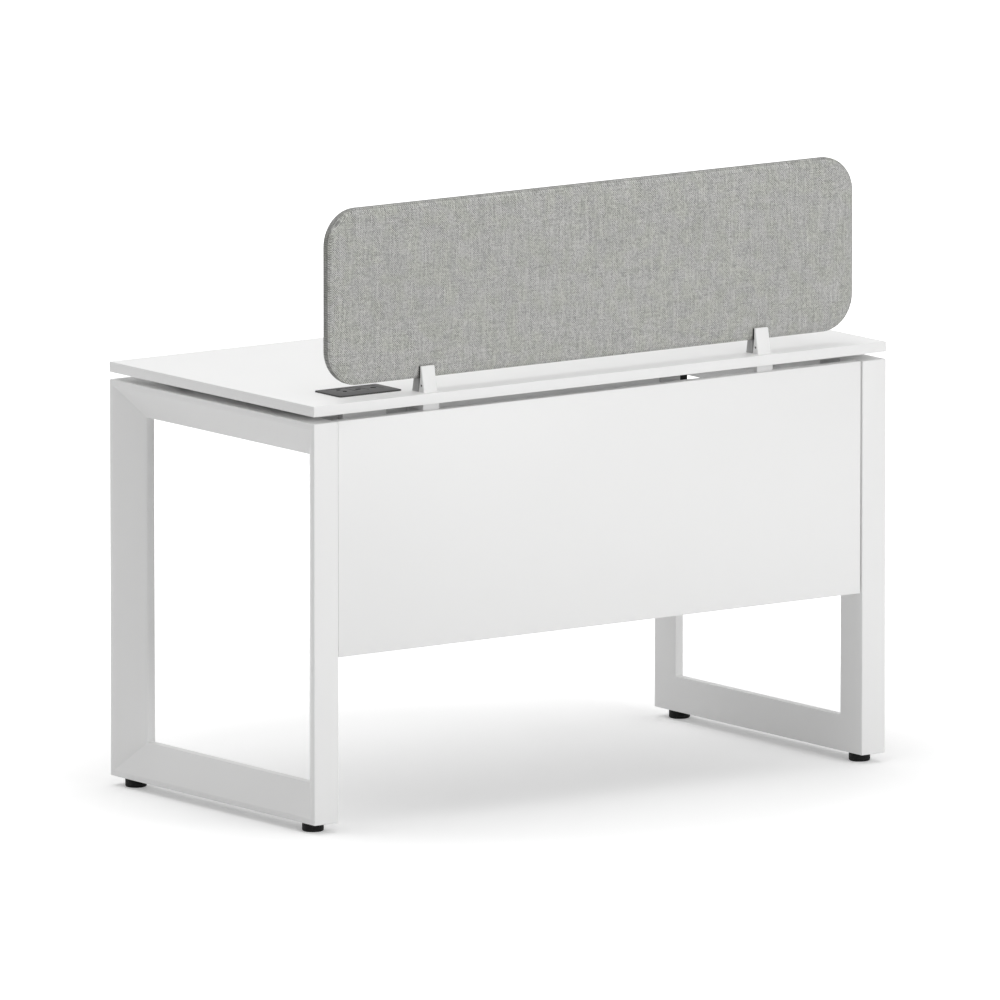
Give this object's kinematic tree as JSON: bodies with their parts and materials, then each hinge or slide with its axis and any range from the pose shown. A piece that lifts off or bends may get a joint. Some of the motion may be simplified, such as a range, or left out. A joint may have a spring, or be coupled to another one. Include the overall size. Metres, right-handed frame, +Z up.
{
  "type": "cubicle workstation",
  "caption": "Rectangular white desk on closed-loop steel leg frames with a floating top, modesty panel, grey fabric screen on brackets, in-desk power unit and cable tray.",
  "frame": {"origin": "on the floor under the centre of the desk's outline", "axes": "+Z up; +X to the right of a person who sits at the desk; +Y from that person towards the screen and the modesty panel"},
  "size_m": [1.2, 0.6, 1.053],
  "materials": {
    "white_board": "white melamine-faced chipboard, satin",
    "edge_band": "white edge band, satin",
    "frame_steel": "white powder coat, fine texture",
    "carcass_steel": "light grey powder coat",
    "zinc_steel": "zinc plated",
    "dark_steel": "blackened steel",
    "black_plastic": "black moulded plastic",
    "black_rubber": "black rubber",
    "spacer_plastic": "grey plastic",
    "light_metal": "light grey paint",
    "bracket_dark": "dark grey paint",
    "bracket_white": "white paint, satin",
    "core_board": "raw fibreboard",
    "insert_brass": "plain brass",
    "screen_fabric": "grey melange woven upholstery fabric",
    "edge_fabric": "darker grey woven edge fabric",
    "power_plastic": "dark grey satin plastic",
    "insert_plastic": "dark grey satin plastic",
    "housing_plastic": "light grey moulded plastic",
    "tray_steel": "silver-grey powder coat",
    "hanger_steel": "grey powder coat"
  },
  "bodies": {
    "desk": {"worktop_board": "white_board", "worktop_edge_bands": "edge_band", "right_front_post": "frame_steel", "right_rear_post": "frame_steel", "right_top_rail": "frame_steel", "right_bottom_rail": "frame_steel", "left_front_post": "frame_steel", "left_rear_post": "frame_steel", "left_top_rail": "frame_steel", "left_bottom_rail": "frame_steel", "foot_inserts": "zinc_steel", "right_side_channel": "carcass_steel", "left_side_channel": "carcass_steel", "channel_bolts": "zinc_steel", "front_beam": "carcass_steel", "rear_beam": "carcass_steel", "beam_end_plates": "carcass_steel", "beam_bolts": "zinc_steel", "worktop_spacers": "spacer_plastic", "worktop_screws": "zinc_steel", "modesty_board": "white_board", "modesty_edge_bands": "edge_band", "modesty_angles": "carcass_steel", "modesty_screws": "zinc_steel", "hanger_blocks": "light_metal", "hanger_screws": "zinc_steel", "right_bracket_base": "bracket_dark", "left_bracket_base": "bracket_dark", "right_bracket_cheek": "bracket_white", "left_bracket_cheek": "bracket_white", "bracket_pads": "black_rubber", "bracket_grub_screws": "dark_steel", "bracket_bolts": "zinc_steel", "screen_screws": "zinc_steel", "screen_core": "core_board", "screen_inserts": "insert_brass", "screen_front_cover": "screen_fabric", "screen_rear_cover": "screen_fabric", "screen_edge_cover": "edge_fabric", "power_bezel": "power_plastic", "socket_insert": "insert_plastic", "port_inserts": "insert_plastic", "power_housing": "housing_plastic", "power_inlet": "black_plastic", "power_clamps": "zinc_steel", "cable_tray": "tray_steel", "tray_end_cap": "black_plastic", "tray_hangers": "hanger_steel", "tray_screws": "zinc_steel"},
    "front_right_foot": {"front_right_foot_pad": "black_plastic", "front_right_foot_stud": "zinc_steel"},
    "rear_right_foot": {"rear_right_foot_pad": "black_plastic", "rear_right_foot_stud": "zinc_steel"},
    "front_left_foot": {"front_left_foot_pad": "black_plastic", "front_left_foot_stud": "zinc_steel"},
    "rear_left_foot": {"rear_left_foot_pad": "black_plastic", "rear_left_foot_stud": "zinc_steel"}
  },
  "joints": [
    {"name": "front_right_foot_screw", "type": "slide", "parent": "desk", "child": "front_right_foot", "axis": [0, 0, -1], "range_m": [0, 0.012]},
    {"name": "rear_right_foot_screw", "type": "slide", "parent": "desk", "child": "rear_right_foot", "axis": [0, 0, -1], "range_m": [0, 0.012]},
    {"name": "front_left_foot_screw", "type": "slide", "parent": "desk", "child": "front_left_foot", "axis": [0, 0, -1], "range_m": [0, 0.012]},
    {"name": "rear_left_foot_screw", "type": "slide", "parent": "desk", "child": "rear_left_foot", "axis": [0, 0, -1], "range_m": [0, 0.012]}
  ]
}
